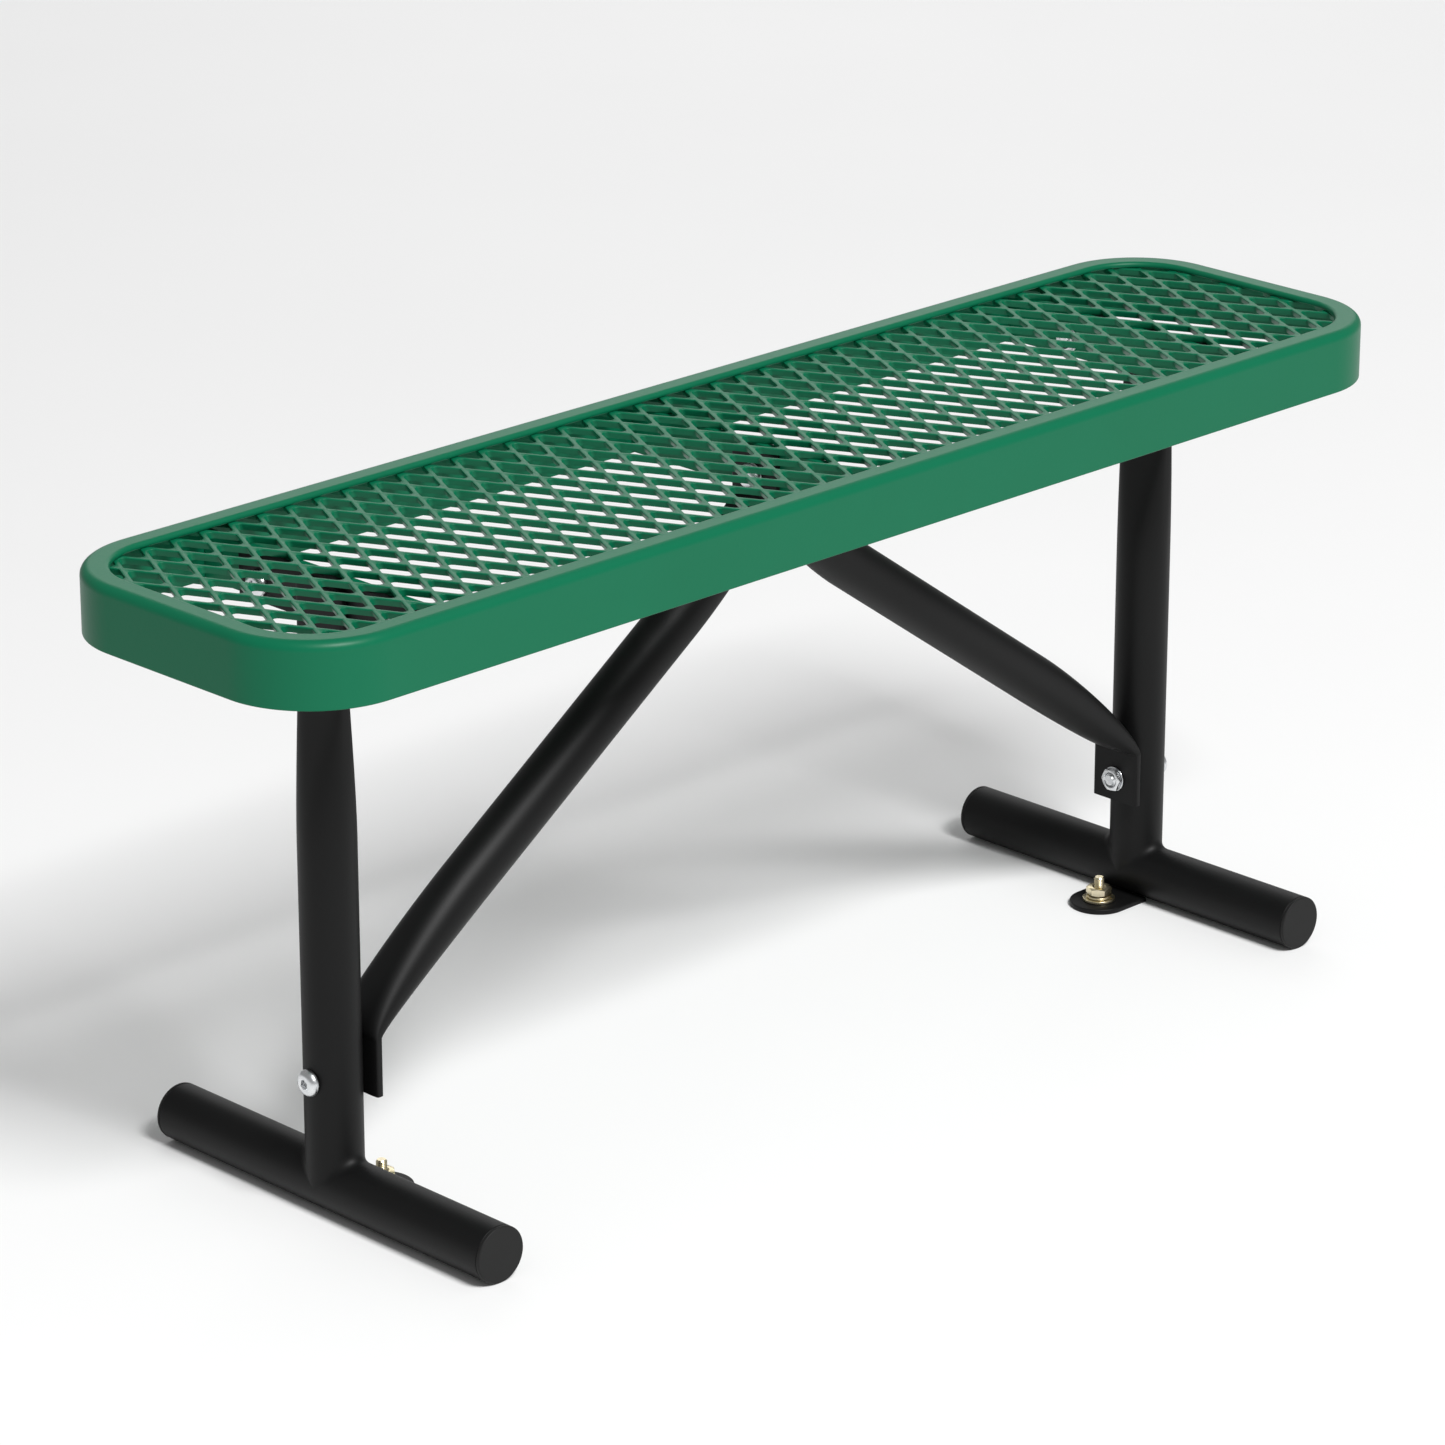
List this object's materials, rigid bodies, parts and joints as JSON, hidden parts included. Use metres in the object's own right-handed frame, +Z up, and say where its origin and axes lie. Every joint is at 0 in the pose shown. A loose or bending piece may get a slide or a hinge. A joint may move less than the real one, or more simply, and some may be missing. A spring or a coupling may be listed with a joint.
{
  "type": "backless bench",
  "caption": "Backless park bench: rounded seat of coated expanded metal in a deep rim, on two T-shaped tube ends with diagonal tube braces, bolted together, with floor anchor tabs.",
  "frame": {"origin": "on the ground under the middle of the seat, the bottom centre of the bounding box", "axes": "+X along the seat's length, +Y across the seat, +Z up"},
  "size_m": [1.0668, 0.326, 0.4572],
  "materials": {
    "green_coat": "satin green thermoplastic coat over steel",
    "black_powder_coat": "satin black powder coat on steel",
    "black_plastic": "matt black moulded end caps",
    "zinc_plate": "bright zinc-plated steel fasteners",
    "yellow_zinc": "yellow passivated zinc-plated steel anchors"
  },
  "bodies": {
    "root": {"anchor_lock_washer_left": "yellow_zinc", "anchor_lock_washer_right": "yellow_zinc", "anchor_nut_left": "yellow_zinc", "anchor_nut_right": "yellow_zinc", "anchor_stud_left": "yellow_zinc", "anchor_stud_right": "yellow_zinc", "anchor_washer_left": "yellow_zinc", "anchor_washer_right": "yellow_zinc", "brace_tube_left": "black_powder_coat", "brace_tube_right": "black_powder_coat", "centre_bolt": "zinc_plate", "centre_head_washer": "zinc_plate", "centre_nut": "zinc_plate", "centre_washer": "zinc_plate", "cross_bar_left": "black_powder_coat", "cross_bar_right": "black_powder_coat", "floor_tab_left": "black_powder_coat", "floor_tab_right": "black_powder_coat", "foot_cap_left_back": "black_plastic", "foot_cap_left_front": "black_plastic", "foot_cap_right_back": "black_plastic", "foot_cap_right_front": "black_plastic", "foot_tube_left": "black_powder_coat", "foot_tube_right": "black_powder_coat", "leg_left_bolt": "zinc_plate", "leg_left_nut": "zinc_plate", "leg_left_washer": "zinc_plate", "leg_right_bolt": "zinc_plate", "leg_right_nut": "zinc_plate", "leg_right_washer": "zinc_plate", "leg_tube_left": "black_powder_coat", "leg_tube_right": "black_powder_coat", "seat_left_back_bolt": "zinc_plate", "seat_left_back_nut": "zinc_plate", "seat_left_back_washer": "zinc_plate", "seat_left_front_bolt": "zinc_plate", "seat_left_front_nut": "zinc_plate", "seat_left_front_washer": "zinc_plate", "seat_mesh": "green_coat", "seat_rib_centre": "green_coat", "seat_rib_left": "green_coat", "seat_rib_right": "green_coat", "seat_right_back_bolt": "zinc_plate", "seat_right_back_nut": "zinc_plate", "seat_right_back_washer": "zinc_plate", "seat_right_front_bolt": "zinc_plate", "seat_right_front_nut": "zinc_plate", "seat_right_front_washer": "zinc_plate", "seat_rim": "green_coat"}
  },
  "joints": []
}
